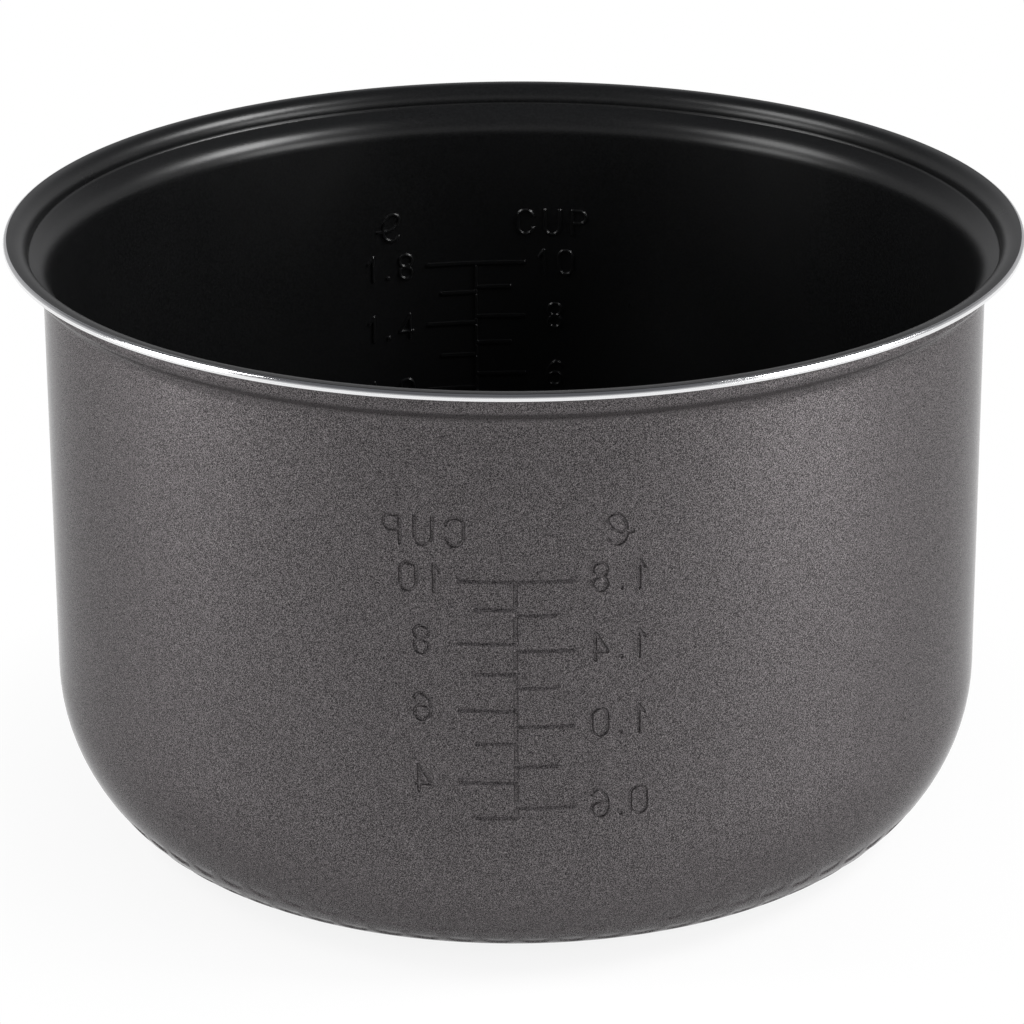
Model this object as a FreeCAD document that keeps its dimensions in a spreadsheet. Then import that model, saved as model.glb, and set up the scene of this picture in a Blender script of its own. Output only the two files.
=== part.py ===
import FreeCAD, Part
import math
import os

import Sketcher

Vector = FreeCAD.Vector

# Inner pot of a rice cooker: one drawn aluminium sheet with a stamped water scale on two sides,
# a black non-stick coating inside and a grey coating outside.
# +Z is up, and the origin is the centre of the base's underside.

# Driving sizes, in millimetres and degrees
DIMENSIONS = [
    ("rim_height", 145.0, "top of the metal flange above the base"),
    ("wall_radius", 110.9, "outside of the straight metal wall"),
    ("sheet_thickness", 1.8, "aluminium sheet"),
    ("coat_thickness", 0.1, "each coating, all its layers together"),
    ("corner_upper_radius", 44.7, "upper part of the base corner, outside"),
    ("corner_lower_radius", 20.7, "lower part of the base corner, outside"),
    ("corner_split", 43.8, "angle below level at which the two corner radii meet"),
    ("ledge_step", 5.3, "from the wall's inner face out to the neck's"),
    ("ledge_slope", 32.0, "slope of the ledge inside the mouth"),
    ("ledge_bend", 4.0, "hollow bend under the ledge, outside"),
    ("neck_depth", 4.6, "from the flange's top down to the foot of the neck"),
    ("neck_bend", 0.9, "hollow bend at the foot of the neck, inside"),
    ("flange_bend", 1.8, "hollow bend under the flange"),
    ("flange_width", 5.6, "from the neck's inner face out to the rim's edge"),
    ("rim_edge_radius", 0.85, "rounding of the bare edge of the sheet"),
    ("base_bare_angle", 14.0, "how far up the corner the bare base reaches"),
    ("scale_depth", 0.4, "how deep the scale is stamped"),
    ("stroke_width", 0.9, "strokes of the scale"),
    ("back_scale_turn", 185.3, "second scale, turned from the first"),
    ("top_level", 99.2, "height of the ten cup line above the base"),
    ("level_step", 7.0, "from the ten cup line down, for the first cup"),
    ("level_growth", 0.1665, "what the step gains with the square of the cups"),
    ("odd_line_rise", 0.6, "how much higher the lines of the odd cups stand"),
    ("long_tick", 12.6, "from the middle of the scale"),
    ("short_tick", 9.0, "from the middle of the scale"),
    ("digit_height", 6.5, "on the middle of the strokes"),
    ("digit_width", 3.5, "on the middle of the strokes"),
    ("digit_pitch", 5.6, "from one digit of the cups to the next"),
    ("letter_pitch", 6.9, "from one letter of the heading to the next"),
    ("cup_column", 20.6, "middle of the cup figures, from the middle of the scale"),
    ("litre_column", 18.4, "last figure of the litres, from the middle of the scale"),
    ("point_pitch", 4.65, "from the last figure of the litres to the decimal point"),
    ("whole_pitch", 4.0, "from the decimal point to the whole litres"),
    ("cup_heading", 20.0, "middle letter of the cups' heading, from the middle of the scale"),
    ("litre_heading", 22.8, "the litres' heading, from the middle of the scale"),
    ("heading_rise", 10.9, "middle of the headings above the ten cup line"),
]

FULL_CUPS = 10
LOWEST_CUPS = 3
LITRES_PER_CUP = 0.18
LITRE_LEVELS = [1.8, 1.6, 1.4, 1.2, 1.0, 0.8, 0.6]

doc = FreeCAD.newDocument("inner_pot")
sizes = doc.addObject("Spreadsheet::Sheet", "sizes")
for row, (alias, number, note) in enumerate(DIMENSIONS, start=1):
    sizes.set(f"A{row}", note)
    sizes.set(f"B{row}", str(number))
    sizes.setAlias(f"B{row}", alias)
doc.recompute()


def size(expression):
    """The value of an expression of the sheet's sizes."""
    return float(sizes.evalExpression(expression))


# The run of bends that every face of the wall follows

# A face is named by its offset: how far it lies outside the bare inner face of the sheet.
INNER_WALL = "(sizes.wall_radius - sizes.sheet_thickness)"
NECK_FACE = f"({INNER_WALL} + sizes.ledge_step)"
RIM_RADIUS = f"({NECK_FACE} + sizes.flange_width)"
COAT_EDGE = f"({RIM_RADIUS} - sizes.rim_edge_radius)"
BEND_TANGENT = "tan((90 - sizes.ledge_slope) / 2)"
LEDGE_RADIUS = "(sizes.ledge_bend + sizes.sheet_thickness + sizes.coat_thickness)"
NECK_RADIUS = "(sizes.neck_bend + sizes.coat_thickness)"
FLANGE_RADIUS = "(sizes.flange_bend + sizes.sheet_thickness + sizes.coat_thickness)"
NECK_FOOT = "(sizes.rim_height - sizes.neck_depth)"
LEDGE_FOOT = f"({NECK_FOOT} - sizes.ledge_step * tan(sizes.ledge_slope))"
CORNER_DIFFERENCE = "(sizes.corner_upper_radius - sizes.corner_lower_radius)"
UPPER_CORNER_X = "(sizes.wall_radius - sizes.corner_upper_radius)"


def bends(offset):
    """The five bends from base to rim: centre, radius, and the angles where it begins and ends."""
    split = size("sizes.corner_split")
    slope = size("sizes.ledge_slope")
    return [
        (f"{UPPER_CORNER_X} + {CORNER_DIFFERENCE} * cos(sizes.corner_split)",
         "sizes.corner_lower_radius",
         f"sizes.corner_lower_radius - sizes.sheet_thickness + {offset}", -90, -split),
        (UPPER_CORNER_X,
         f"sizes.corner_lower_radius + {CORNER_DIFFERENCE} * sin(sizes.corner_split)",
         f"sizes.corner_upper_radius - sizes.sheet_thickness + {offset}", -split, 0),
        (f"{INNER_WALL} + {LEDGE_RADIUS}",
         f"{LEDGE_FOOT} - {LEDGE_RADIUS} * {BEND_TANGENT}",
         f"{LEDGE_RADIUS} - ({offset})", 180, 90 + slope),
        (f"{NECK_FACE} - {NECK_RADIUS}",
         f"{NECK_FOOT} + {NECK_RADIUS} * {BEND_TANGENT}",
         f"{NECK_RADIUS} + {offset}", slope - 90, 0),
        (f"{NECK_FACE} + {FLANGE_RADIUS}",
         f"sizes.rim_height - {FLANGE_RADIUS}",
         f"{FLANGE_RADIUS} - ({offset})", 180, 90),
    ]


START, END, CENTRE = 1, 2, 3
ORIGIN, AXIS = -1, -2


def dimension(sketch, expression, kind, *where):
    """Add a dimension to a sketch and bind it to the sheet."""
    index = sketch.addConstraint(Sketcher.Constraint(kind, *where, size(expression)))
    sketch.setExpression(f"Constraints[{index}]", expression)


def link(sketch, kind, first, second):
    """Join two ends, each given as its geometry and the point on it."""
    sketch.addConstraint(Sketcher.Constraint(kind, *first, *second))


def add_line(sketch, begin, finish):
    return sketch.addGeometry(Part.LineSegment(begin, finish), False)


def add_arc(sketch, middle, radius, begins, ends):
    """An arc whose two ends come back in the order in which the outline meets them."""
    circle = Part.Circle(middle, Vector(0, 0, 1), radius)
    low, high = sorted((math.radians(begins), math.radians(ends)))
    arc = sketch.addGeometry(Part.ArcOfCircle(circle, low, high), False)
    if begins < ends:
        return (arc, START), (arc, END)
    return (arc, END), (arc, START)


def point_at(middle, radius, angle):
    turn = math.radians(angle)
    return middle + Vector(math.cos(turn), math.sin(turn), 0) * radius


def add_face(sketch, offset, to_axis):
    """One face of the wall as a chain of lines and tangent bends. Its two loose ends come back."""
    first_end = None
    previous_end = None
    previous_point = None
    for number, (middle_x, middle_z, radius, begins, ends) in enumerate(bends(offset)):
        middle = Vector(size(middle_x), size(middle_z), 0)
        reach = size(radius)
        meets, leaves = add_arc(sketch, middle, reach, begins, ends)
        arc = meets[0]
        dimension(sketch, radius, "Radius", arc)
        dimension(sketch, middle_z, "DistanceY", ORIGIN, START, arc, CENTRE)
        if number > 0:
            dimension(sketch, middle_x, "DistanceX", ORIGIN, START, arc, CENTRE)
        meeting_point = point_at(middle, reach, begins)
        if number == 1:
            link(sketch, "Tangent", previous_end, meets)
        elif number > 1:
            run = add_line(sketch, previous_point, meeting_point)
            link(sketch, "Tangent", previous_end, (run, START))
            link(sketch, "Tangent", (run, END), meets)
        elif to_axis:
            base = add_line(sketch, Vector(0, meeting_point.y, 0), meeting_point)
            sketch.addConstraint(Sketcher.Constraint("PointOnObject", base, START, AXIS))
            sketch.addConstraint(Sketcher.Constraint("Horizontal", base))
            link(sketch, "Tangent", (base, END), meets)
            first_end = (base, START)
        else:
            first_end = meets
        previous_end = leaves
        previous_point = point_at(middle, reach, ends)
    flange = add_line(sketch, previous_point, Vector(size(COAT_EDGE), previous_point.y, 0))
    link(sketch, "Tangent", previous_end, (flange, START))
    sketch.addConstraint(Sketcher.Constraint("Horizontal", flange))
    return first_end, (flange, END)


def end_point(sketch, end):
    return sketch.getPoint(*end)


def close_with_line(sketch, first, second):
    """A straight line between two loose ends."""
    line = add_line(sketch, end_point(sketch, first), end_point(sketch, second))
    link(sketch, "Coincident", first, (line, START))
    link(sketch, "Coincident", second, (line, END))
    return line


def close_rim_rounded(sketch, top, bottom):
    """The bare edge of the sheet: a rounding, a short upright and a rounding."""
    radius = size("sizes.rim_edge_radius")
    edge = size(COAT_EDGE)
    high = end_point(sketch, top).y - radius
    low = end_point(sketch, bottom).y + radius
    upper_meets, upper_leaves = add_arc(sketch, Vector(edge, high, 0), radius, 90, 0)
    lower_meets, lower_leaves = add_arc(sketch, Vector(edge, low, 0), radius, 0, -90)
    upright = add_line(sketch, Vector(edge + radius, high, 0), Vector(edge + radius, low, 0))
    link(sketch, "Tangent", top, upper_meets)
    link(sketch, "Tangent", upper_leaves, (upright, START))
    link(sketch, "Tangent", (upright, END), lower_meets)
    link(sketch, "Tangent", lower_leaves, bottom)
    for arc in (upper_meets[0], lower_meets[0]):
        dimension(sketch, "sizes.rim_edge_radius", "Radius", arc)
        dimension(sketch, COAT_EDGE, "DistanceX", ORIGIN, START, arc, CENTRE)


def layer(name, inside, outside, bare_base=False, rounded_rim=False):
    """A layer of the pot, turned about its axis, between two faces of the wall."""
    body = doc.addObject("PartDesign::Body", name)
    upright = [plane for plane in body.Origin.OriginFeatures if plane.Role == "XZ_Plane"][0]
    sketch = body.newObject("Sketcher::SketchObject", f"{name}_section")
    sketch.AttachmentSupport = (upright, [""])
    sketch.MapMode = "FlatFace"
    inner_start, inner_rim = add_face(sketch, inside, not bare_base)
    outer_start, outer_rim = add_face(sketch, outside, not bare_base)
    base_edge = close_with_line(sketch, outer_start, inner_start)
    if bare_base:
        lower_corner = inner_start[0]
        dimension(sketch, "90 + sizes.base_bare_angle", "Angle", base_edge)
        centre_on_edge = ("PointOnObject", lower_corner, CENTRE, base_edge)
        sketch.addConstraint(Sketcher.Constraint(*centre_on_edge))
    if rounded_rim:
        close_rim_rounded(sketch, inner_rim, outer_rim)
    else:
        rim_edge = close_with_line(sketch, inner_rim, outer_rim)
        sketch.addConstraint(Sketcher.Constraint("Vertical", rim_edge))
        dimension(sketch, COAT_EDGE, "DistanceX", ORIGIN, START, *inner_rim)
    turned = body.newObject("PartDesign::Revolution", f"{name}_turned")
    turned.Profile = sketch
    turned.ReferenceAxis = (sketch, ["V_Axis"])
    turned.Angle = 360
    doc.recompute()
    return body


# Strokes of the water scale

# The drawing lies in the upright plane through the axis. Across it, u runs to the right and v up
# for a reader inside the pot, so it is mirrored for one who stands in front of it.


def spot(u, v):
    return Vector(-u, 0, v)


def filled(outline):
    """A flat face inside a closed outline, always facing the same way, so that faces can merge."""
    face = Part.Face(outline)
    if face.normalAt(0, 0).y < 0:
        face.reverse()
    return face


def disc(middle, radius):
    circle = Part.Circle(spot(*middle), Vector(0, 1, 0), radius)
    return filled(Part.Wire(circle.toShape()))


def bar(begin, finish, half_width):
    """A straight stroke with round ends."""
    first = spot(*begin)
    last = spot(*finish)
    along = (last - first).normalize() * half_width
    across = along.cross(Vector(0, 1, 0))
    outline = [
        Part.makeLine(first + across, last + across),
        Part.Arc(last + across, last + along, last - across).toShape(),
        Part.makeLine(last - across, first - across),
        Part.Arc(first - across, first - along, first + across).toShape(),
    ]
    return filled(Part.Wire(outline))


def bent_stroke(pieces, half_width):
    """A stroke along lines, of two points, and arcs, of three."""
    edges = []
    for piece in pieces:
        points = [spot(*point) for point in piece]
        if len(points) == 2:
            edges.append(Part.makeLine(*points))
        else:
            edges.append(Part.Arc(*points).toShape())
    outline = Part.Wire(edges).makeOffset2D(half_width)
    return filled(outline.Wires[0])


def ring(middle, radius, half_width):
    return disc(middle, radius + half_width).cut(disc(middle, radius - half_width)).Faces[0]


def merged(faces):
    """One face out of strokes that cross or touch."""
    if len(faces) == 1:
        return faces[0]
    crossing = faces[0].multiFuse(faces[1:])
    return Part.Shell(crossing.Faces).removeSplitter().Faces[0]


def glyph(sign, half_width):
    """The strokes of one figure or letter, about its own middle."""
    high = size("sizes.digit_height") / 2
    wide = size("sizes.digit_width") / 2
    broad = 1.1 * wide
    if sign == "0":
        low_middle = (0, wide - high)
        high_middle = (0, high - wide)
        inside = bar(low_middle, high_middle, wide - half_width)
        return [bar(low_middle, high_middle, wide + half_width).cut(inside).Faces[0]]
    if sign == "1":
        return [bent_stroke([[(-0.7 * wide, high - wide), (0, high)], [(0, high), (0, -high)]], half_width)]
    if sign == "4":
        stem = 0.55 * wide
        bar_height = -0.42 * high
        corner = (-wide, bar_height)
        arm = bent_stroke([[(stem, high), corner], [corner, (wide, bar_height)]], half_width)
        return [arm, bar((stem, high), (stem, -high), half_width)]
    if sign == "6":
        bowl = (0, wide - high)
        tail = [(-wide, wide - high), (-0.5 * wide, 0.42 * high), (0.55 * wide, high)]
        finer = 0.9 * half_width
        return [ring(bowl, wide, half_width), bent_stroke([tail], finer)]
    if sign == "8":
        upper = 0.94 * wide
        lower = high - upper
        return [ring((0, high - upper), upper, half_width), ring((0, lower - high), lower, half_width)]
    if sign == ".":
        return [disc((0, half_width - high), 1.4 * half_width)]
    if sign == "C":
        lip = 0.5 * high
        top = [(broad, lip), (0, high), (-broad, lip)]
        side = [(-broad, lip), (-broad, -lip)]
        bottom = [(-broad, -lip), (0, -high), (broad, -lip)]
        return [bent_stroke([top, side, bottom], half_width)]
    if sign == "U":
        turn = broad - high
        bowl = [(-broad, turn), (0, -high), (broad, turn)]
        sides = [(-broad, high), (-broad, turn)], [(broad, turn), (broad, high)]
        return [bent_stroke([sides[0], bowl, sides[1]], half_width)]
    if sign == "P":
        bowl_radius = 0.52 * high
        foot = high - 2 * bowl_radius
        bend = wide - bowl_radius
        bowl = [(bend, high), (wide, high - bowl_radius), (bend, foot)]
        runs = [(-wide, high), (bend, high)], [(bend, foot), (-wide, foot)]
        return [bar((-wide, -high), (-wide, high), half_width),
                bent_stroke([runs[0], bowl, runs[1]], half_width)]
    rise = [(0.1 * wide, -0.23 * high), (1.3 * wide, 0.25 * high), (1.55 * wide, 0.8 * high)]
    top = [rise[2], (0.85 * wide, 1.1 * high), (-0.15 * wide, 0.9 * high)]
    side = [top[2], (-0.8 * wide, 0.1 * high), (-0.75 * wide, -0.6 * high)]
    hook = [side[2], (0.25 * wide, -1.08 * high), (1.5 * wide, -0.75 * high)]
    tail = [(-1.6 * wide, -0.27 * high), rise[0]]
    return [bar(*tail, half_width), bent_stroke([rise, top, side, hook], half_width)]


def level(cups):
    """Height of the water for that many cups. The steps widen towards the base."""
    missing = FULL_CUPS - cups
    return size("sizes.top_level") - size("sizes.level_step") * missing \
        - size("sizes.level_growth") * missing ** 2


def put(signs, first_u, pitches, height, half_width):
    """A row of signs, the first at first_u, each of the rest one pitch further on."""
    faces = []
    u = first_u
    for sign, pitch in zip(signs, [0] + pitches):
        u += pitch
        face = merged(glyph(sign, half_width))
        face.translate(spot(u, height))
        faces.append(face)
    return faces


def ticks_and_figures(half_width):
    """One scale as separate faces: cups to a reader's right, litres to the left."""
    long_tick = size("sizes.long_tick")
    short_tick = size("sizes.short_tick")
    cup_column = size("sizes.cup_column")
    litre_column = size("sizes.litre_column")
    digit_pitch = size("sizes.digit_pitch")
    letter_pitch = size("sizes.letter_pitch")
    point_pitch = size("sizes.point_pitch")
    whole_pitch = size("sizes.whole_pitch")
    odd_line_rise = size("sizes.odd_line_rise")
    spine_foot = level(LOWEST_CUPS) + odd_line_rise
    ticks = [bar((0, spine_foot), (0, level(FULL_CUPS)), half_width)]
    faces = []
    for cups in range(LOWEST_CUPS, FULL_CUPS + 1):
        numbered = cups % 2 == 0
        reach = long_tick if numbered else short_tick
        height = level(cups) if numbered else level(cups) + odd_line_rise
        ticks.append(bar((0, height), (reach, height), half_width))
        if numbered:
            figures = str(cups)
            first_u = cup_column - digit_pitch * (len(figures) - 1) / 2
            pitches = [digit_pitch] * (len(figures) - 1)
            faces += put(figures, first_u, pitches, height, half_width)
    for index, litres in enumerate(LITRE_LEVELS):
        height = level(litres / LITRES_PER_CUP)
        numbered = index % 2 == 0
        reach = long_tick if numbered else short_tick
        ticks.append(bar((0, height), (-reach, height), half_width))
        if numbered:
            first_u = -litre_column - point_pitch - whole_pitch
            faces += put(f"{litres:.1f}", first_u, [whole_pitch, point_pitch], height, half_width)
    heading = level(FULL_CUPS) + size("sizes.heading_rise")
    first_letter = size("sizes.cup_heading") - letter_pitch
    faces += put("CUP", first_letter, [letter_pitch] * 2, heading, half_width)
    faces += put("l", -size("sizes.litre_heading"), [], heading, half_width)
    return [merged(ticks)] + faces


def stroke_prisms(name, half_width_expression):
    """The strokes of both scales, driven straight through the wall."""
    drawing = doc.addObject("Part::Feature", f"{name}_drawing")
    drawing.Shape = Part.Compound(ticks_and_figures(size(half_width_expression)))
    prisms = []
    for side in ("front", "back"):
        prism = doc.addObject("Part::Extrusion", f"{name}_{side}")
        prism.Base = drawing
        prism.DirMode = "Custom"
        prism.Dir = Vector(0, -1, 0)
        prism.setExpression("LengthFwd", "1.1 * sizes.wall_radius")
        prism.Solid = True
        prisms.append(prism)
    prisms[1].Placement.Rotation = FreeCAD.Rotation(Vector(0, 0, 1), size("sizes.back_scale_turn"))
    prisms[1].setExpression("Placement.Rotation.Angle", "sizes.back_scale_turn")
    both = doc.addObject("Part::Compound", f"{name}_both")
    both.Links = prisms
    return both


def stroke_relief(name, strokes, inner_radius, outer_radius):
    """What the strokes hold of a round layer between two radii."""
    cylinders = []
    for part_name, radius in ((f"{name}_far", outer_radius), (f"{name}_near", inner_radius)):
        cylinder = doc.addObject("Part::Cylinder", part_name)
        cylinder.setExpression("Radius", radius)
        cylinder.setExpression("Height", "sizes.rim_height")
        cylinders.append(cylinder)
    band = boolean("Part::Cut", f"{name}_band", *cylinders)
    return boolean("Part::Common", name, band, strokes)


def boolean(kind, name, base, tool):
    """A boolean of two objects of the document."""
    result = doc.addObject(kind, name)
    result.Base = base
    result.Tool = tool
    return result


# The three layers before stamping

METAL_INSIDE = "0"
METAL_OUTSIDE = "sizes.sheet_thickness"
COAT_INSIDE = "(0 - sizes.coat_thickness)"
COAT_OUTSIDE = "(sizes.sheet_thickness + sizes.coat_thickness)"

plain_metal = layer("plain_metal", METAL_INSIDE, METAL_OUTSIDE, rounded_rim=True)
plain_inner_coat = layer("plain_inner_coat", COAT_INSIDE, METAL_INSIDE)
plain_outer_coat = layer("plain_outer_coat", METAL_OUTSIDE, COAT_OUTSIDE, bare_base=True)

# The stamped scale: sunk outside, raised inside, and lined by the coatings

HALF_COAT = "sizes.coat_thickness / 2"
visible_strokes = stroke_prisms("visible_strokes", "sizes.stroke_width / 2")
wide_strokes = stroke_prisms("wide_strokes", "sizes.stroke_width / 2 + sizes.coat_thickness")
narrow_strokes = stroke_prisms("narrow_strokes", "sizes.stroke_width / 2 - sizes.coat_thickness")

sunk_in_coat = stroke_relief(
    "sunk_in_coat", visible_strokes,
    "sizes.wall_radius + sizes.coat_thickness - sizes.scale_depth",
    "sizes.wall_radius + 2 * sizes.coat_thickness")
sunk_in_metal = stroke_relief(
    "sunk_in_metal", wide_strokes,
    "sizes.wall_radius - sizes.scale_depth",
    f"sizes.wall_radius + {HALF_COAT}")
raised_in_metal = stroke_relief(
    "raised_in_metal", narrow_strokes,
    f"{INNER_WALL} - sizes.scale_depth",
    f"{INNER_WALL} + sizes.sheet_thickness / 4")
raised_in_coat = stroke_relief(
    "raised_in_coat", visible_strokes,
    f"{INNER_WALL} - sizes.coat_thickness - sizes.scale_depth",
    f"{INNER_WALL} - {HALF_COAT}")

stamped_outside = boolean("Part::Cut", "stamped_outside", plain_metal, sunk_in_metal)
shell = boolean("Part::Fuse", "shell", stamped_outside, raised_in_metal)
filled_grooves = boolean("Part::Fuse", "filled_grooves", plain_outer_coat, sunk_in_metal)
outer_coat = boolean("Part::Cut", "outer_coat", filled_grooves, sunk_in_coat)
covered_ridges = boolean("Part::Fuse", "covered_ridges", plain_inner_coat, raised_in_coat)
inner_coat = boolean("Part::Cut", "inner_coat", covered_ridges, raised_in_metal)

shell.Label = "pot_shell"
inner_coat.Label = "inner_nonstick_coating"
outer_coat.Label = "outer_coating"
pieces = [shell, inner_coat, outer_coat]
for piece in pieces:
    piece.Refine = True
    piece.Placement = FreeCAD.Placement()
doc.recompute()

# Every object must have built, and every piece must be one sound solid

for item in doc.Objects:
    if "Invalid" in item.State or "Error" in item.State:
        raise RuntimeError(f"{item.Label} did not build: {item.State}")
for piece in pieces:
    if piece.Shape.isNull() or not piece.Shape.isValid():
        raise RuntimeError(f"{piece.Label} has no sound shape")
    if len(piece.Shape.Solids) != 1:
        raise RuntimeError(f"{piece.Label} is {len(piece.Shape.Solids)} solids, not one")
    print(piece.Label, "volume", round(piece.Shape.Volume, 1), "faces", len(piece.Shape.Faces))

os.makedirs("parts", exist_ok=True)
for piece in pieces:
    piece.Shape.exportStep(f"parts/{piece.Label}.step")
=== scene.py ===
import math

import bpy
import numpy as np
from mathutils import Matrix, Vector


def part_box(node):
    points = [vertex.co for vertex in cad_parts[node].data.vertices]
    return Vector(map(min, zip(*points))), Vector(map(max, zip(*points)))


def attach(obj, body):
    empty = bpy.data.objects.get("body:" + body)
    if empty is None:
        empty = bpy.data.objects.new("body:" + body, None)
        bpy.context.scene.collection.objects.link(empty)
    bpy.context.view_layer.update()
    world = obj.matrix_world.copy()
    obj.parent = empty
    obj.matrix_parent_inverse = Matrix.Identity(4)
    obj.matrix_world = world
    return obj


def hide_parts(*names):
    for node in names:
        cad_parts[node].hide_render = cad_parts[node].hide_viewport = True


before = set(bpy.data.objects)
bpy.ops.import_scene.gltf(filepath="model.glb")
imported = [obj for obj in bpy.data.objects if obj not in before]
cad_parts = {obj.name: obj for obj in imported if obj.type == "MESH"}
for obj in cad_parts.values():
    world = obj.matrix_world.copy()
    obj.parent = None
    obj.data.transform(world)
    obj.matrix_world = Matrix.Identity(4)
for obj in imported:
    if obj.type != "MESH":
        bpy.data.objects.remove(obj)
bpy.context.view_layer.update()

# Inner pot of a rice cooker, in metres: a drawn aluminium shell, a black non-stick lining and a
# speckled grey finish outside, with a water scale stamped through the wall on two sides.

MM = 0.001

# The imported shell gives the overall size.
shell_low, shell_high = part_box("pot_shell")
RIM_HEIGHT = shell_high.z - shell_low.z
RIM_RADIUS = (shell_high.x - shell_low.x) / 2

# Sizes of the section
SHEET = 1.8 * MM
COAT = 0.1 * MM
LEDGE_STEP = 5.3 * MM
FLANGE_WIDTH = 5.6 * MM
CORNER_UPPER_RADIUS = 44.7 * MM
CORNER_LOWER_RADIUS = 20.7 * MM
CORNER_SPLIT = 43.8
BARE_BASE_ANGLE = 14.0
LEDGE_SLOPE = 32.0
LEDGE_BEND = 4.0 * MM
NECK_DEPTH = 4.6 * MM
NECK_BEND = 0.9 * MM
FLANGE_BEND = 1.8 * MM
RIM_EDGE_RADIUS = 0.85 * MM

# What follows from them
NECK_FACE = RIM_RADIUS - FLANGE_WIDTH
INNER_WALL = NECK_FACE - LEDGE_STEP
OUTER_WALL = INNER_WALL + SHEET
COAT_EDGE = RIM_RADIUS - RIM_EDGE_RADIUS
INSIDE_FACE = -COAT
OUTSIDE_FACE = SHEET + COAT
NECK_FOOT = RIM_HEIGHT - NECK_DEPTH
LEDGE_FOOT = NECK_FOOT - LEDGE_STEP * math.tan(math.radians(LEDGE_SLOPE))
BEND_TANGENT = math.tan(math.radians(90 - LEDGE_SLOPE) / 2)
LEDGE_RADIUS = LEDGE_BEND + SHEET + COAT
NECK_RADIUS = NECK_BEND + COAT
FLANGE_RADIUS = FLANGE_BEND + SHEET + COAT
CORNER_DIFFERENCE = CORNER_UPPER_RADIUS - CORNER_LOWER_RADIUS
UPPER_CORNER = (
    OUTER_WALL - CORNER_UPPER_RADIUS,
    CORNER_LOWER_RADIUS + CORNER_DIFFERENCE * math.sin(math.radians(CORNER_SPLIT)))
LOWER_CORNER = (
    UPPER_CORNER[0] + CORNER_DIFFERENCE * math.cos(math.radians(CORNER_SPLIT)),
    CORNER_LOWER_RADIUS)

# Mesh sizes: steps round the axis, rings up each bend, and how thick a film is where it is pressed
STEPS_AROUND = 216
RING_STEP = 3.2 * MM
LOWER_CORNER_RINGS = 6
UPPER_CORNER_RINGS = 12
BEND_RINGS = 8
SUPPORT = 0.35 * MM
THICK_FILM = 0.5 * MM
MERGE_DISTANCE = 0.01 * MM

# The water scale. Faces near its strokes are cut in four, several times over.
SCALE_DEPTH = 0.4 * MM
STROKE_HALF = 0.45 * MM
LINE_FLOOR = 0.33 * MM
LINE_FLANK = 0.18 * MM
LINE_APRON = 0.75 * MM
SIGN_FLOOR = 0.2 * MM
SIGN_FLANK = 0.25 * MM
SIGN_DEPTH = 0.4 * MM
SCALE_CUTS = 4
NEAR_STROKE = 0.75
SCALE_TURNS = (0.0, 185.3)
TOP_LEVEL = 99.2 * MM
LEVEL_STEP = 7.0 * MM
LEVEL_GROWTH = 0.1665 * MM
ODD_LINE_RISE = 0.6 * MM
LONG_TICK = 12.6 * MM
SHORT_TICK = 9.0 * MM
DIGIT_HIGH = 3.25 * MM
DIGIT_WIDE = 1.75 * MM
DIGIT_PITCH = 5.6 * MM
LETTER_PITCH = 6.9 * MM
CUP_COLUMN = 20.6 * MM
LITRE_COLUMN = 18.4 * MM
POINT_PITCH = 4.65 * MM
WHOLE_PITCH = 4.0 * MM
CUP_HEADING = 20.0 * MM
LITRE_HEADING = 22.8 * MM
HEADING_RISE = 10.9 * MM
FULL_CUPS = 10
LOWEST_CUPS = 3
LITRES_PER_CUP = 0.18
LITRE_LEVELS = (1.8, 1.6, 1.4, 1.2, 1.0, 0.8, 0.6)

# Two rows of scalloped cells round the base corner, the lower one cut less finely
CELLS_AROUND = 72
CELL_RADIUS = 3.05 * MM
CELL_DEPTH = 0.3 * MM
CELL_FLANK = 0.4 * MM
CELL_ROW_TILT = 35.2
CELL_ROW_GAP = 7.6 * MM
CELL_CUTS = (3, 2)
NEAR_CELL = 0.55
ABOVE_CELL = 0.4


# Section of the pot

class Station:
    """A point on the bare inner face of the sheet, the way out of it, and how it is used."""

    def __init__(self, point, angle, film, kept):
        self.point = point
        self.outward = (math.cos(angle), math.sin(angle))
        self.film = film
        self.kept = kept

    def at(self, offset):
        """The point of the section at that distance outside the sheet's inner face."""
        return (self.point[0] + self.outward[0] * offset, self.point[1] + self.outward[1] * offset)


def bend(centre, radius, begins, ends, count, films, hollow=False):
    """Stations along an arc. A hollow bend has its centre outside the pot."""
    stations = []
    for index in range(count + 1):
        share = index / count
        angle = math.radians(begins + (ends - begins) * share)
        point = (centre[0] + radius * math.cos(angle), centre[1] + radius * math.sin(angle))
        outward = angle + math.pi if hollow else angle
        film = films[0] + (films[1] - films[0]) * share
        kept = index % 2 == 0 or index == count
        stations.append(Station(point, outward, film, kept))
    return stations


def run(first, last, step, kept):
    """Stations between two others, with one close to each end to hold the bends' shape."""
    dx = last.point[0] - first.point[0]
    dz = last.point[1] - first.point[1]
    length = math.hypot(dx, dz)
    angle = math.atan2(first.outward[1], first.outward[0])
    margin = min(SUPPORT, length / 3)
    places = [margin]
    count = max(1, round((length - 2 * margin) / step))
    for index in range(1, count):
        places.append(margin + (length - 2 * margin) * index / count)
    places.append(length - margin)
    stations = []
    for place in places:
        share = place / length
        point = (first.point[0] + dx * share, first.point[1] + dz * share)
        film = first.film + (last.film - first.film) * share
        stations.append(Station(point, angle, film, kept))
    return stations


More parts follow.
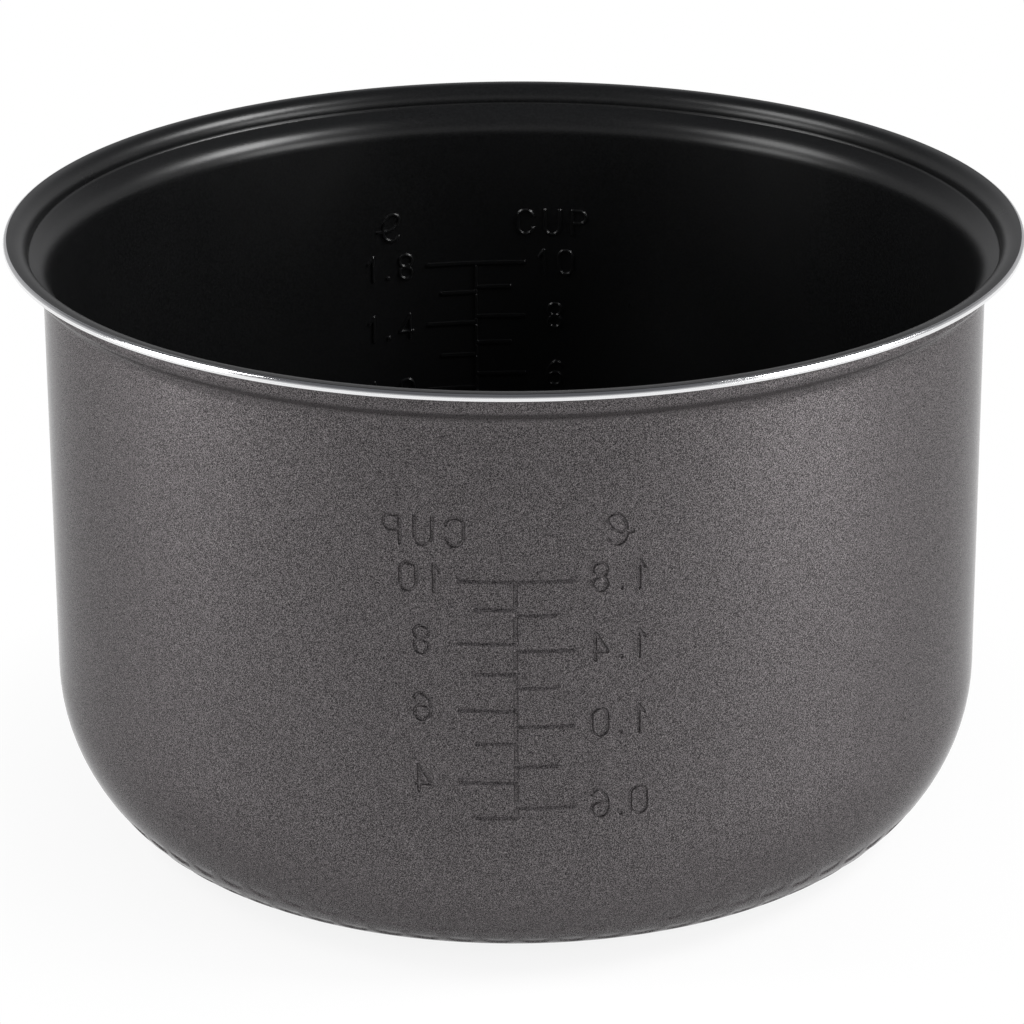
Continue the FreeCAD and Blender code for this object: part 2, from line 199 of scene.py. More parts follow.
def wall_stations(begins=-90.0):
    """The sheet's inner face from the base to the edge of the flange, as stations."""
    lower = bend(LOWER_CORNER, CORNER_LOWER_RADIUS - SHEET, begins, -CORNER_SPLIT,
                 LOWER_CORNER_RINGS, (COAT, THICK_FILM))
    upper = bend(UPPER_CORNER, CORNER_UPPER_RADIUS - SHEET, -CORNER_SPLIT, 0,
                 UPPER_CORNER_RINGS, (THICK_FILM, THICK_FILM))
    ledge_middle = (INNER_WALL + LEDGE_RADIUS, LEDGE_FOOT - LEDGE_RADIUS * BEND_TANGENT)
    ledge = bend(ledge_middle, LEDGE_RADIUS, 180, 90 + LEDGE_SLOPE,
                 BEND_RINGS, (THICK_FILM, COAT), hollow=True)
    neck_middle = (NECK_FACE - NECK_RADIUS, NECK_FOOT + NECK_RADIUS * BEND_TANGENT)
    neck = bend(neck_middle, NECK_RADIUS, LEDGE_SLOPE - 90, 0, BEND_RINGS, (COAT, COAT))
    for station in neck:
        station.kept = True
    flange_middle = (NECK_FACE + FLANGE_RADIUS, RIM_HEIGHT - FLANGE_RADIUS)
    flange = bend(flange_middle, FLANGE_RADIUS, 180, 90, BEND_RINGS, (COAT, COAT), hollow=True)
    edge = Station((COAT_EDGE, RIM_HEIGHT), -math.pi / 2, COAT, True)
    stations = lower[:-1] + upper
    stations += run(upper[-1], ledge[0], RING_STEP, False) + ledge
    stations += run(ledge[-1], neck[0], RING_STEP, True) + neck
    stations += run(neck[-1], flange[0], RING_STEP, True) + flange
    stations += run(flange[-1], edge, RING_STEP, True) + [edge]
    return stations


def outer_finish_section():
    """Closed outline of the grey finish: its visible face up, its hidden face down."""
    stations = wall_stations(BARE_BASE_ANGLE - 90)
    visible = [station.at(OUTSIDE_FACE) for station in stations]
    hidden = [station.at(OUTSIDE_FACE - station.film) for station in stations if station.kept]
    return visible + hidden[::-1]


def lining_section():
    """Outline of the non-stick lining: from the axis, up its visible face, down its hidden one."""
    stations = wall_stations()
    visible = [station.at(INSIDE_FACE) for station in stations]
    hidden = [station.at(INSIDE_FACE + station.film) for station in stations if station.kept]
    floor_rings = 14
    reach, height = visible[0]
    floor = [(reach * index / floor_rings, height) for index in range(floor_rings)]
    return floor + visible + hidden[::-1] + [(0.0, hidden[0][1])]


def shell_section():
    """Outline of the aluminium shell between the two coatings, with its bare base and rim."""
    stations = wall_stations()
    inside = [station.at(INSIDE_FACE + station.film) for station in stations if station.kept]
    bead = []
    high = RIM_HEIGHT - RIM_EDGE_RADIUS
    low = RIM_HEIGHT - SHEET + RIM_EDGE_RADIUS
    for height, begins in ((high, 90), (low, 0)):
        for index in range(BEND_RINGS + 1):
            angle = math.radians(begins - 90 * index / BEND_RINGS)
            bead.append((COAT_EDGE + RIM_EDGE_RADIUS * math.cos(angle),
                         height + RIM_EDGE_RADIUS * math.sin(angle)))
    coated = wall_stations(BARE_BASE_ANGLE - 90)
    outside = [station.at(OUTSIDE_FACE - station.film) for station in coated if station.kept]
    bare_count = 4
    bare = []
    for index in range(bare_count):
        angle = math.radians(-90 + BARE_BASE_ANGLE * index / bare_count)
        bare.append((LOWER_CORNER[0] + CORNER_LOWER_RADIUS * math.cos(angle),
                     LOWER_CORNER[1] + CORNER_LOWER_RADIUS * math.sin(angle)))
    base_rings = 14
    base = [(bare[0][0] * index / base_rings, 0.0) for index in range(base_rings)]
    under = base + bare + outside[:-1]
    return [(0.0, inside[0][1])] + inside[:-1] + bead + under[::-1]


# Modelling by hand

def turned_piece(name, section):
    """A piece turned about the axis: one vertex, extruded along its section and spun."""
    bpy.ops.object.select_all(action="DESELECT")
    bpy.ops.mesh.primitive_plane_add(size=MM, location=(0, 0, 0))
    piece = bpy.context.object
    piece.name = name
    piece.data.name = name
    bpy.ops.object.mode_set(mode="EDIT")
    bpy.context.tool_settings.mesh_select_mode = (True, False, False)
    bpy.ops.mesh.select_all(action="SELECT")
    bpy.ops.mesh.merge(type="CENTER")
    here = section[0]
    bpy.ops.transform.translate(value=(here[0], 0, here[1]))
    for there in section[1:] + section[:1]:
        move = (there[0] - here[0], 0, there[1] - here[1])
        bpy.ops.mesh.extrude_region_move(TRANSFORM_OT_translate={"value": move})
        here = there
    bpy.ops.mesh.select_all(action="SELECT")
    bpy.ops.mesh.spin(steps=STEPS_AROUND, angle=2 * math.pi, center=(0, 0, 0), axis=(0, 0, 1))
    bpy.ops.mesh.select_all(action="SELECT")
    bpy.ops.mesh.remove_doubles(threshold=MERGE_DISTANCE)
    bpy.ops.mesh.delete_loose()
    bpy.ops.mesh.select_all(action="SELECT")
    bpy.ops.mesh.normals_make_consistent(inside=False)
    bpy.ops.object.mode_set(mode="OBJECT")
    return piece


def read_points(piece):
    points = np.empty(len(piece.data.vertices) * 3)
    piece.data.vertices.foreach_get("co", points)
    return points.reshape(-1, 3)


def write_points(piece, points):
    piece.data.vertices.foreach_set("co", points.ravel())
    piece.data.update()


def read_faces(piece):
    """Middle and number of sides of every face."""
    mesh = piece.data
    middles = np.empty(len(mesh.polygons) * 3)
    mesh.polygons.foreach_get("center", middles)
    sides = np.empty(len(mesh.polygons), dtype=int)
    mesh.polygons.foreach_get("loop_total", sides)
    return middles.reshape(-1, 3), sides


def subdivide_faces(piece, chosen):
    """Cut every chosen face in four."""
    mesh = piece.data
    mesh.vertices.foreach_set("select", np.zeros(len(mesh.vertices), dtype=bool))
    mesh.edges.foreach_set("select", np.zeros(len(mesh.edges), dtype=bool))
    mesh.polygons.foreach_set("select", chosen)
    bpy.context.tool_settings.mesh_select_mode = (False, False, True)
    bpy.context.view_layer.objects.active = piece
    bpy.ops.object.mode_set(mode="EDIT")
    bpy.ops.mesh.subdivide(number_cuts=1, smoothness=0)
    bpy.ops.object.mode_set(mode="OBJECT")


def smooth_step(share):
    share = np.clip(share, 0.0, 1.0)
    return share * share * (3 - 2 * share)


# Strokes of the water scale, drawn for a reader inside: u to the right, v up

def arc_points(first, middle, last, count=10):
    """Points along the arc through three points."""
    (ax, ay), (bx, by), (cx, cy) = first, middle, last
    twice = 2 * (ax * (by - cy) + bx * (cy - ay) + cx * (ay - by))
    a2, b2, c2 = ax * ax + ay * ay, bx * bx + by * by, cx * cx + cy * cy
    ox = (a2 * (by - cy) + b2 * (cy - ay) + c2 * (ay - by)) / twice
    oy = (a2 * (cx - bx) + b2 * (ax - cx) + c2 * (bx - ax)) / twice
    radius = math.hypot(ax - ox, ay - oy)
    begin = math.atan2(ay - oy, ax - ox)
    way = math.atan2(by - oy, bx - ox) - begin
    end = math.atan2(cy - oy, cx - ox) - begin
    full = 2 * math.pi
    way, end = way % full, end % full
    if way > end:
        end -= full
    return [(ox + radius * math.cos(begin + end * index / count),
             oy + radius * math.sin(begin + end * index / count)) for index in range(count + 1)]


def ring_points(middle, radius, count=24):
    full = 2 * math.pi
    return [(middle[0] + radius * math.cos(full * index / count),
             middle[1] + radius * math.sin(full * index / count)) for index in range(count + 1)]


def sign_strokes(sign):
    """The strokes of one figure or letter, about its own middle."""
    high, wide = DIGIT_HIGH, DIGIT_WIDE
    broad = 1.1 * wide
    if sign == "0":
        top = arc_points((wide, high - wide), (0, high), (-wide, high - wide))
        foot = arc_points((-wide, wide - high), (0, -high), (wide, wide - high))
        return [top + foot + top[:1]]
    if sign == "1":
        return [[(-0.7 * wide, high - wide), (0, high), (0, -high)]]
    if sign == "4":
        stem, across = 0.55 * wide, -0.42 * high
        return [[(stem, high), (-wide, across), (wide, across)], [(stem, high), (stem, -high)]]
    if sign == "6":
        crown = (0.15 * wide, high)
        back = arc_points((-wide, wide - high), (-0.8 * wide, 0.5 * high), crown)
        tip = arc_points(crown, (0.65 * wide, 0.9 * high), (0.95 * wide, 0.6 * high))
        return [ring_points((0, wide - high), wide), back + tip[1:]]
    if sign == "8":
        upper = 0.94 * wide
        lower = high - upper
        return [ring_points((0, high - upper), upper), ring_points((0, lower - high), lower)]
    if sign == ".":
        return [ring_points((0, STROKE_HALF - high), 0.4 * STROKE_HALF)]
    if sign == "C":
        lip = 0.5 * high
        return [arc_points((broad, lip), (0, high), (-broad, lip))
                + arc_points((-broad, -lip), (0, -high), (broad, -lip))]
    if sign == "U":
        turn = broad - high
        foot = arc_points((-broad, turn), (0, -high), (broad, turn))
        return [[(-broad, high)] + foot + [(broad, high)]]
    if sign == "P":
        bowl = 0.52 * high
        foot, turn = high - 2 * bowl, wide - bowl
        arch = arc_points((turn, high), (wide, high - bowl), (turn, foot))
        return [[(-wide, -high), (-wide, high)] + arch + [(-wide, foot)]]
    crossing = (0.1 * wide, -0.23 * high)
    loop_end = (1.55 * wide, 0.8 * high)
    loop_top = (-0.15 * wide, 0.9 * high)
    foot = (-0.75 * wide, -0.6 * high)
    return [[(-1.6 * wide, -0.27 * high)]
            + arc_points(crossing, (1.3 * wide, 0.25 * high), loop_end)
            + arc_points(loop_end, (0.85 * wide, 1.1 * high), loop_top)[1:]
            + arc_points(loop_top, (-0.8 * wide, 0.1 * high), foot)[1:]
            + arc_points(foot, (0.25 * wide, -1.08 * high), (1.5 * wide, -0.75 * high))[1:]]


def level(cups):
    """Height of the water for that many cups."""
    missing = FULL_CUPS - cups
    return TOP_LEVEL - LEVEL_STEP * missing - LEVEL_GROWTH * missing ** 2


def row_of_signs(signs, places, height):
    """The strokes of a row of signs, each in its place across the scale."""
    strokes = []
    for sign, place in zip(signs, places):
        for stroke in sign_strokes(sign):
            strokes.append([(u + place, v + height) for u, v in stroke])
    return strokes


def scale_strokes():
    """One scale as lines and signs: cups to a reader's right, litres to the left."""
    lines = [[(0, level(LOWEST_CUPS) + ODD_LINE_RISE), (0, level(FULL_CUPS))]]
    signs = []
    for cups in range(LOWEST_CUPS, FULL_CUPS + 1):
        numbered = cups % 2 == 0
        reach = LONG_TICK if numbered else SHORT_TICK
        height = level(cups) if numbered else level(cups) + ODD_LINE_RISE
        lines.append([(0, height), (reach, height)])
        if numbered:
            figures = str(cups)
            first = CUP_COLUMN - DIGIT_PITCH * (len(figures) - 1) / 2
            signs += row_of_signs(figures, (first, first + DIGIT_PITCH), height)
    point = LITRE_COLUMN + POINT_PITCH
    for index, litres in enumerate(LITRE_LEVELS):
        height = level(litres / LITRES_PER_CUP)
        numbered = index % 2 == 0
        reach = LONG_TICK if numbered else SHORT_TICK
        lines.append([(0, height), (-reach, height)])
        if numbered:
            places = (-point - WHOLE_PITCH, -point, -LITRE_COLUMN)
            signs += row_of_signs(f"{litres:.1f}", places, height)
    heading = level(FULL_CUPS) + HEADING_RISE
    letters = (CUP_HEADING - LETTER_PITCH, CUP_HEADING, CUP_HEADING + LETTER_PITCH)
    signs += row_of_signs("CUP", letters, heading)
    signs += row_of_signs("l", (-LITRE_HEADING,), heading)
    return lines, signs


def stroke_segments():
    """Every straight bit of the scale: its two ends, its floor, flank, apron and depth."""
    lines, signs = scale_strokes()
    begins, ends, shapes = [], [], []
    for strokes, shape in ((lines, (LINE_FLOOR, LINE_FLANK, LINE_APRON, SCALE_DEPTH)),
                           (signs, (SIGN_FLOOR, SIGN_FLANK, SIGN_FLANK, SIGN_DEPTH))):
        for stroke in strokes:
            begins += stroke[:-1]
            ends += stroke[1:]
            shapes += [shape] * (len(stroke) - 1)
    return np.array(begins), np.array(ends), np.array(shapes).T


SEGMENT_BEGINS, SEGMENT_ENDS, SEGMENT_SHAPES = stroke_segments()
SCALE_LOW = level(LOWEST_CUPS) - 4 * MM
SCALE_HIGH = level(FULL_CUPS) + HEADING_RISE + 8 * MM
SCALE_REACH = 36 * MM
ON_WALL = SCALE_DEPTH / 4
POINTS_AT_ONCE = 2000
FAR = 1.0
TINY = 1e-9


def ruling_stroke(drawn):
    """For each drawn point: the way to it from the stroke that shapes it, and that shape."""
    along = SEGMENT_ENDS - SEGMENT_BEGINS
    floors, flanks, aprons, depths = SEGMENT_SHAPES
    ways = np.empty_like(drawn)
    floor, flank, depth = np.empty((3, len(drawn)))
    for part in np.array_split(np.arange(len(drawn)), len(drawn) // POINTS_AT_ONCE + 1):
        reach = drawn[part][:, None, :] - SEGMENT_BEGINS
        share = (reach * along).sum(2) / (along * along).sum(1)
        way = reach - np.clip(share, 0, 1)[:, :, None] * along
        distance = np.hypot(way[:, :, 0], way[:, :, 1])
        below = np.clip(-way[:, :, 1] / np.maximum(distance, TINY), 0, 1)
        slopes = flanks + (aprons - flanks) * below ** 2
        ruling = (distance - floors - slopes).argmin(1)
        rows = np.arange(len(part))
        ways[part] = way[rows, ruling]
        floor[part] = floors[ruling]
        flank[part] = slopes[rows, ruling]
        depth[part] = depths[ruling]
    return ways, floor, flank, depth


def drawn_points(points, face_radius, turn):
    """Which points lie on the wall under one scale, and where they lie in its drawing."""
    angle = math.radians(turn)
    radius = np.hypot(points[:, 0], points[:, 1])
    across = points[:, 0] * math.cos(angle) + points[:, 1] * math.sin(angle)
    depth = points[:, 1] * math.cos(angle) - points[:, 0] * math.sin(angle)
    under = (np.abs(radius - face_radius) < ON_WALL) & (depth < 0)
    under &= np.abs(across) < SCALE_REACH
    under &= (points[:, 2] > SCALE_LOW) & (points[:, 2] < SCALE_HIGH)
    under = np.flatnonzero(under)
    return under, np.stack([-across[under], points[under, 2]], axis=1)


def beyond_strokes(points, face_radius):
    """How far points on the wall lie outside the strokes of either scale."""
    beyond = np.full(len(points), FAR)
    for turn in SCALE_TURNS:
        under, drawn = drawn_points(points, face_radius, turn)
        ways, floor, flank, _ = ruling_stroke(drawn)
        beyond[under] = np.hypot(ways[:, 0], ways[:, 1]) - floor - flank
    return beyond


def press_strokes(points, face_radius, cell):
    """Draw the points nearest to the edges of each stroke on to them, then press the strokes in."""
    for turn in SCALE_TURNS:
        under, drawn = drawn_points(points, face_radius, turn)
        ways, floor, flank, _ = ruling_stroke(drawn)
        distance = np.maximum(np.hypot(ways[:, 0], ways[:, 1]), TINY)
        settled = distance.copy()
        for edge in (floor, floor + flank):
            near = np.abs(distance - edge) < cell / 2
            settled[near] = edge[near]
        drawn += ways * (settled / distance - 1)[:, None]
        ways, floor, flank, depth = ruling_stroke(drawn)
        sunk = (floor + flank - np.hypot(ways[:, 0], ways[:, 1])) / flank
        pressed = face_radius - depth * np.clip(sunk, 0, 1)
        across = -drawn[:, 0]
        inward = -np.sqrt(face_radius ** 2 - across ** 2)
        angle = math.radians(turn)
        points[under, 0] = across * math.cos(angle) - inward * math.sin(angle)
        points[under, 1] = across * math.sin(angle) + inward * math.cos(angle)
        points[under, :2] *= (pressed / face_radius)[:, None]
        points[under, 2] = drawn[:, 1]


def snap_to_wall(points, face_radius):
    """Put the new points of a cut face back on the round wall."""
    radius = np.hypot(points[:, 0], points[:, 1])
    foot = UPPER_CORNER[1]
    top = LEDGE_FOOT - LEDGE_RADIUS * BEND_TANGENT
    on_wall = np.abs(radius - face_radius) < ON_WALL
    on_wall &= (points[:, 2] > foot) & (points[:, 2] < top)
    points[on_wall, :2] *= (face_radius / radius[on_wall])[:, None]


def stamp_scale(piece, face_radius):
    """Cut the wall finely along the strokes and press them in towards the axis."""
    cell = RING_STEP
    for _ in range(SCALE_CUTS):
        middles, sides = read_faces(piece)
        near = beyond_strokes(middles, face_radius) < NEAR_STROKE * cell
        subdivide_faces(piece, near & (sides == 4))
        points = read_points(piece)
        snap_to_wall(points, face_radius)
        write_points(piece, points)
        cell /= 2
    points = read_points(piece)
    press_strokes(points, face_radius, cell)
    write_points(piece, points)


# Cells round the base corner

def corner_place(points):
    """Tilt of the corner's face below level, the distance off that face and the way down it."""
    radius = np.hypot(points[:, 0], points[:, 1])
    split = math.radians(CORNER_SPLIT)
    upper_arm = (radius - UPPER_CORNER[0], points[:, 2] - UPPER_CORNER[1])
    lower_arm = (radius - LOWER_CORNER[0], points[:, 2] - LOWER_CORNER[1])
    upper_tilt = np.arctan2(-upper_arm[1], upper_arm[0])
    lower_tilt = np.arctan2(-lower_arm[1], lower_arm[0])
    in_upper = upper_tilt < split
    tilt = np.where(in_upper, upper_tilt, lower_tilt)
    upper_radius = CORNER_UPPER_RADIUS + COAT
    lower_radius = CORNER_LOWER_RADIUS + COAT
    off = np.where(
        in_upper, np.hypot(*upper_arm) - upper_radius, np.hypot(*lower_arm) - lower_radius)
    way = np.where(
        in_upper, upper_radius * tilt, upper_radius * split + lower_radius * (tilt - split))
    return tilt, off, way


def cell_offsets(points):
    """For each row of cells: how far points lie across and down from the nearest middle."""
    radius = np.hypot(points[:, 0], points[:, 1])
    around = np.arctan2(points[:, 0], -points[:, 1])
    tilt, off, way = corner_place(points)
    pitch = 2 * math.pi / CELLS_AROUND
    first_row = (CORNER_UPPER_RADIUS + COAT) * math.radians(CELL_ROW_TILT)
    on_face = (np.abs(off) < 2 * COAT) & (tilt > 0)
    offsets = []
    for row in range(len(CELL_CUTS)):
        turn = around / pitch + 0.5 * row
        across = (turn - np.round(turn)) * pitch * radius
        down = way - first_row - CELL_ROW_GAP * row
        offsets.append((np.where(on_face, across, FAR), np.where(on_face, down, FAR)))
    return offsets


def snap_to_corner(points):
    """Put the new points of a cut face back on the round corner."""
    tilt, off, _ = corner_place(points)
    radius = np.hypot(points[:, 0], points[:, 1])
    on_face = (np.abs(off) < COAT) & (tilt > 0) & (tilt < math.radians(90 - BARE_BASE_ANGLE))
    pull = np.where(on_face, off, 0)
    points[:, :2] *= (1 - pull * np.cos(tilt) / np.maximum(radius, MM))[:, None]
    points[:, 2] += pull * np.sin(tilt)


def scallop_cells(piece):
    """Press shallow cells into the corner, each deepest at its rounded lower edge."""
    cell = RING_STEP
    for cut in range(max(CELL_CUTS)):
        middles, sides = read_faces(piece)
        near = np.zeros(len(middles), dtype=bool)
        for (across, down), cuts in zip(cell_offsets(middles), CELL_CUTS):
            from_edge = np.abs(np.hypot(across, down) - CELL_RADIUS)
            if cut < cuts:
                on_edge = from_edge < CELL_FLANK / 2 + NEAR_CELL * cell
                near |= on_edge & (down > -ABOVE_CELL * cell)
        subdivide_faces(piece, near & (sides == 4))
        points = read_points(piece)
        snap_to_corner(points)
        write_points(piece, points)
        cell /= 2
    points = read_points(piece)
    tilt, _, _ = corner_place(points)
    radius = np.hypot(points[:, 0], points[:, 1])
    press = np.zeros(len(points))
    for across, down in cell_offsets(points):
        from_middle = np.hypot(across, down)
        inside = smooth_step((CELL_RADIUS + CELL_FLANK / 2 - from_middle) / CELL_FLANK)
        deepening = smooth_step((down + CELL_RADIUS) / (2 * CELL_RADIUS))
        press = np.maximum(press, CELL_DEPTH * inside * deepening)
    points[:, :2] *= (1 - press * np.cos(tilt) / np.maximum(radius, MM))[:, None]
    points[:, 2] += press * np.sin(tilt)
    write_points(piece, points)


# Materials

def new_material(name):
    material = bpy.data.materials.new(name)
    material.use_nodes = True
    return material, material.node_tree.nodes, material.node_tree.links


def noise(nodes, links, vector, scale, detail, roughness=0.5):
    texture = nodes.new("ShaderNodeTexNoise")
    texture.inputs["Scale"].default_value = scale
    texture.inputs["Detail"].default_value = detail
    texture.inputs["Roughness"].default_value = roughness
    links.new(vector, texture.inputs["Vector"])
    return texture.outputs["Fac"]


def turned_place(nodes, links):
    """Object coordinates, turned so that no face of the pot lies along the grain's own grid."""
    mapping = nodes.new("ShaderNodeMapping")
    mapping.inputs["Rotation"].default_value = (0.5, 0.8, 0.3)
    links.new(nodes.new("ShaderNodeTexCoord").outputs["Object"], mapping.inputs["Vector"])
    return mapping.outputs["Vector"]


def ramp(nodes, links, value, stops):
    """A colour ramp with stops of place and grey or colour."""
    node = nodes.new("ShaderNodeValToRGB")
    while len(node.color_ramp.elements) < len(stops):
        node.color_ramp.elements.new(0.5)
    for element, (place, colour) in zip(node.color_ramp.elements, stops):
        element.position = place
        element.color = (*colour, 1.0)
    links.new(value, node.inputs["Fac"])
    return node.outputs["Color"]


def value_range(nodes, links, value, low, high, bottom, top):
    node = nodes.new("ShaderNodeMapRange")
    node.inputs["From Min"].default_value = low
    node.inputs["From Max"].default_value = high
    node.inputs["To Min"].default_value = bottom
    node.inputs["To Max"].default_value = top
    links.new(value, node.inputs["Value"])
    return node.outputs["Result"]


def bump(nodes, links, height, distance, strength):
    node = nodes.new("ShaderNodeBump")
    node.inputs["Distance"].default_value = distance
    node.inputs["Strength"].default_value = strength
    links.new(height, node.inputs["Height"])
    return node.outputs["Normal"]


def blended(nodes, links, share, first, second):
    """A mix of two colours, each of them a socket or a value."""
    node = nodes.new("ShaderNodeMix")
    node.data_type = "RGBA"
    for socket, source in (("Factor", share), ("A", first), ("B", second)):
        target = [item for item in node.inputs if item.name == socket and item.enabled][0]
        if hasattr(source, "links"):
            links.new(source, target)
        else:
            target.default_value = source
    return [item for item in node.outputs if item.enabled][0]


def speckled_grey_finish():
    """Warm dark grey coat with fine metallic speckle under a thin clear skin."""
    material, nodes, links = new_material("speckled_grey_finish")
    shader = nodes["Principled BSDF"]
    place = turned_place(nodes, links)
    grain = noise(nodes, links, place, 4800, 1.0, 0.7)
    grey = ramp(nodes, links, grain, [
        (0.36, (0.015, 0.0138, 0.0143)),
        (0.50, (0.083, 0.0765, 0.0786)),
        (0.66, (0.220, 0.203, 0.207))])
    flakes = nodes.new("ShaderNodeTexVoronoi")
    flakes.inputs["Scale"].default_value = 4200
    links.new(place, flakes.inputs["Vector"])
    chance = nodes.new("ShaderNodeSeparateColor")
    links.new(flakes.outputs["Color"], chance.inputs["Color"])
    bright = value_range(nodes, links, chance.outputs["Red"], 0.93, 1.0, 0.0, 0.5)
    colour = blended(nodes, links, bright, grey, (0.32, 0.30, 0.30, 1.0))
    links.new(colour, shader.inputs["Base Color"])
    shader.inputs["Metallic"].default_value = 0.7
    shader.inputs["Specular Tint"].default_value = (0.25, 0.25, 0.25, 1.0)
    gloss = value_range(nodes, links, grain, 0.3, 0.7, 0.53, 0.45)
    links.new(gloss, shader.inputs["Roughness"])
    shader.inputs["IOR"].default_value = 1.12
    shader.inputs["Coat Weight"].default_value = 0.85
    shader.inputs["Coat IOR"].default_value = 1.1
    shader.inputs["Coat Roughness"].default_value = 0.12
    relief = bump(nodes, links, grain, 0.05 * MM, 0.3)
    links.new(relief, shader.inputs["Normal"])
    return material


def black_nonstick():
    """Black satin non-stick with a faint even grain."""
    material, nodes, links = new_material("black_nonstick_lining")
    shader = nodes["Principled BSDF"]
    place = nodes.new("ShaderNodeTexCoord").outputs["Object"]
    grain = noise(nodes, links, place, 1800, 2.0)
    cloud = noise(nodes, links, place, 30, 3.0)
    tone = ramp(nodes, links, grain, [
        (0.35, (0.004, 0.0041, 0.0043)),
        (0.65, (0.008, 0.0082, 0.0086))])
    links.new(tone, shader.inputs["Base Color"])
    gloss = value_range(nodes, links, cloud, 0.3, 0.7, 0.27, 0.34)
    links.new(gloss, shader.inputs["Roughness"])
    shader.inputs["IOR"].default_value = 1.42
    relief = bump(nodes, links, grain, 0.03 * MM, 0.3)
    links.new(relief, shader.inputs["Normal"])
    return material


def turned_aluminium():
    """Bare aluminium with fine turning marks round the axis."""
    material, nodes, links = new_material("turned_aluminium")
    shader = nodes["Principled BSDF"]
    place = nodes.new("ShaderNodeTexCoord").outputs["Object"]
    split = nodes.new("ShaderNodeSeparateXYZ")
    links.new(place, split.inputs["Vector"])
    flat = nodes.new("ShaderNodeCombineXYZ")
    links.new(split.outputs["X"], flat.inputs["X"])
    links.new(split.outputs["Y"], flat.inputs["Y"])
    span = nodes.new("ShaderNodeVectorMath")
    span.operation = "LENGTH"
    links.new(flat.outputs["Vector"], span.inputs[0])
    section = nodes.new("ShaderNodeCombineXYZ")
    links.new(span.outputs["Value"], section.inputs["X"])
    links.new(split.outputs["Z"], section.inputs["Y"])
    marks = noise(nodes, links, section.outputs["Vector"], 2600, 3.0, 0.7)
    patches = noise(nodes, links, place, 60, 3.0)
    tone = ramp(nodes, links, marks, [
        (0.3, (0.80, 0.80, 0.81)),
        (0.7, (0.90, 0.90, 0.905))])
    links.new(tone, shader.inputs["Base Color"])
    gloss = value_range(nodes, links, patches, 0.3, 0.7, 0.10, 0.2)
    links.new(gloss, shader.inputs["Roughness"])
    shader.inputs["Metallic"].default_value = 1.0
    relief = bump(nodes, links, marks, 0.02 * MM, 0.25)
    links.new(relief, shader.inputs["Normal"])
    return material


# The pieces

SHARP_EDGE = math.radians(28)


def finish_piece(piece, node, material):
    """Shade a piece, give it its finish and let it stand for its CAD node."""
    bpy.ops.object.select_all(action="DESELECT")
    piece.select_set(True)
    bpy.context.view_layer.objects.active = piece
    bpy.ops.object.shade_smooth_by_angle(angle=SHARP_EDGE)
    piece.data.materials.clear()
    piece.data.materials.append(material)
    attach(piece, "root")
    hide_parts(node)


outer_finish = turned_piece("outer_finish", outer_finish_section())
stamp_scale(outer_finish, INNER_WALL + OUTSIDE_FACE)
scallop_cells(outer_finish)
finish_piece(outer_finish, "outer_coating", speckled_grey_finish())

nonstick_lining = turned_piece("nonstick_lining", lining_section())
stamp_scale(nonstick_lining, INNER_WALL + INSIDE_FACE)
finish_piece(nonstick_lining, "inner_nonstick_coating", black_nonstick())

metal_shell = turned_piece("metal_shell", shell_section())
finish_piece(metal_shell, "pot_shell", turned_aluminium())

# Floor, light and camera

FLOOR_SIZE = 12.0
FLOOR_WHITE = (0.93, 0.93, 0.93, 1.0)
SHADOW_GLOW = 0.86
SHADOW_NEAR = 0.10
SHADOW_FAR = 0.165


def seen_directly(nodes, links):
    """One for rays from the camera and for those that a mirror or glass sends on."""
    path = nodes.new("ShaderNodeLightPath")
    total = path.outputs["Is Camera Ray"]
    for name in ("Is Glossy Ray", "Is Transmission Ray"):
        larger = nodes.new("ShaderNodeMath")
        larger.operation = "MAXIMUM"
        links.new(total, larger.inputs[0])
        links.new(path.outputs[name], larger.inputs[1])
        total = larger.outputs["Value"]
    return total


def make_floor():
    bpy.ops.object.select_all(action="DESELECT")
    bpy.ops.mesh.primitive_plane_add(size=FLOOR_SIZE, location=(0, 0, 0))
    floor = bpy.context.object
    floor.name = "studio_floor"
    material, nodes, links = new_material("white_floor")
    nodes.remove(nodes["Principled BSDF"])
    paint = nodes.new("ShaderNodeBsdfDiffuse")
    paint.inputs["Color"].default_value = FLOOR_WHITE
    glow = nodes.new("ShaderNodeEmission")
    away = nodes.new("ShaderNodeVectorMath")
    away.operation = "LENGTH"
    links.new(nodes.new("ShaderNodeTexCoord").outputs["Object"], away.inputs[0])
    whiter = value_range(
        nodes, links, away.outputs["Value"], SHADOW_NEAR, SHADOW_FAR, SHADOW_GLOW, 1.0)
    share = nodes.new("ShaderNodeMath")
    share.operation = "MULTIPLY"
    links.new(seen_directly(nodes, links), share.inputs[0])
    links.new(whiter, share.inputs[1])
    mixed = nodes.new("ShaderNodeMixShader")
    links.new(share.outputs["Value"], mixed.inputs["Fac"])
    links.new(paint.outputs["BSDF"], mixed.inputs[1])
    links.new(glow.outputs["Emission"], mixed.inputs[2])
    links.new(mixed.outputs["Shader"], nodes["Material Output"].inputs["Surface"])
    floor.data.materials.append(material)


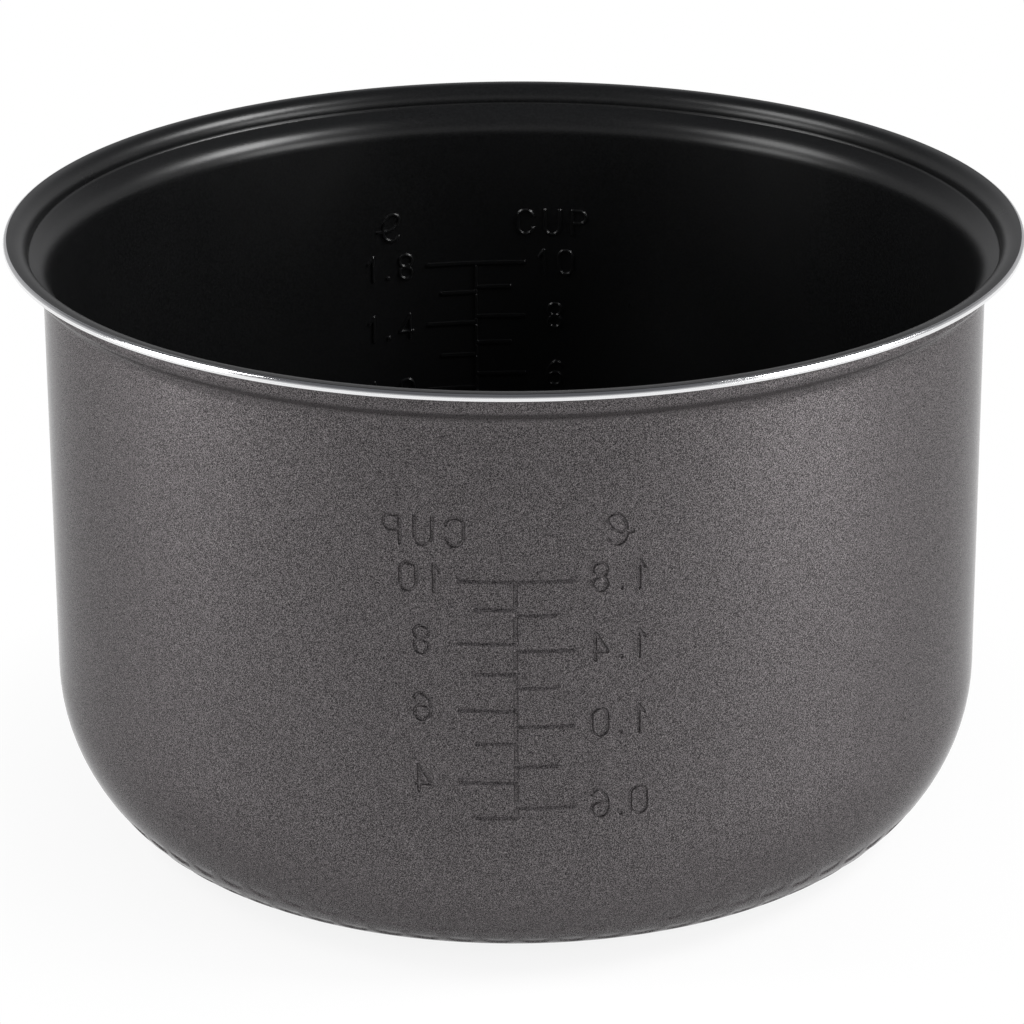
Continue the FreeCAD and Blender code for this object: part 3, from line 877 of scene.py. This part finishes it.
def make_world():
    """Light grey near the horizon, darker overhead."""
    world = bpy.data.worlds.new("studio")
    bpy.context.scene.world = world
    world.use_nodes = True
    nodes, links = world.node_tree.nodes, world.node_tree.links
    way = nodes.new("ShaderNodeTexCoord").outputs["Generated"]
    split = nodes.new("ShaderNodeSeparateXYZ")
    links.new(way, split.inputs["Vector"])
    sky = ramp(nodes, links, split.outputs["Z"], [
        (0.0, (0.55, 0.55, 0.555)),
        (0.15, (0.45, 0.45, 0.455)),
        (0.36, (0.44, 0.44, 0.45)),
        (0.55, (0.17, 0.172, 0.18)),
        (0.8, (0.11, 0.112, 0.12))])
    links.new(sky, nodes["Background"].inputs["Color"])


def add_softbox(name, place, target, width, height, power):
    bpy.ops.object.light_add(type="AREA", location=place)
    lamp = bpy.context.object
    lamp.name = name
    lamp.data.shape = "RECTANGLE"
    lamp.data.size = width
    lamp.data.size_y = height
    lamp.data.energy = power
    aim = Vector(target) - Vector(place)
    lamp.rotation_euler = aim.to_track_quat("-Z", "Y").to_euler()


def make_lights():
    middle = (0, 0, 0.2)
    add_softbox("left_softbox", (-0.55, -0.16, 0.19), middle, 0.24, 0.31, 1.7)
    add_softbox("right_softbox", (0.52, -0.25, 0.19), middle, 0.28, 0.35, 2.0)
    add_softbox("high_right_softbox", (1.0, -0.05, 1.05), middle, 0.5, 0.5, 15)
    add_softbox("high_left_softbox", (-1.0, -0.05, 1.05), middle, 0.5, 0.5, 7.5)


CAMERA_PLACE = (0.0, -1.0406, 0.4788)
CAMERA_PITCH = 21.37
CAMERA_YAW = 0.041
CAMERA_ROLL = -0.27
CAMERA_LENS = 162.66
SENSOR_WIDTH = 36


def make_camera():
    bpy.ops.object.camera_add(location=CAMERA_PLACE)
    camera = bpy.context.object
    camera.data.lens = CAMERA_LENS
    camera.data.sensor_width = SENSOR_WIDTH
    turn = Matrix.Rotation(math.radians(CAMERA_YAW), 4, "Z")
    tilt = Matrix.Rotation(math.radians(90 - CAMERA_PITCH), 4, "X")
    roll = Matrix.Rotation(math.radians(CAMERA_ROLL), 4, "Z")
    camera.matrix_world = Matrix.Translation(CAMERA_PLACE) @ turn @ tilt @ roll
    bpy.context.scene.camera = camera


make_floor()
make_world()
make_lights()
make_camera()
bpy.context.scene.view_settings.view_transform = "Standard"
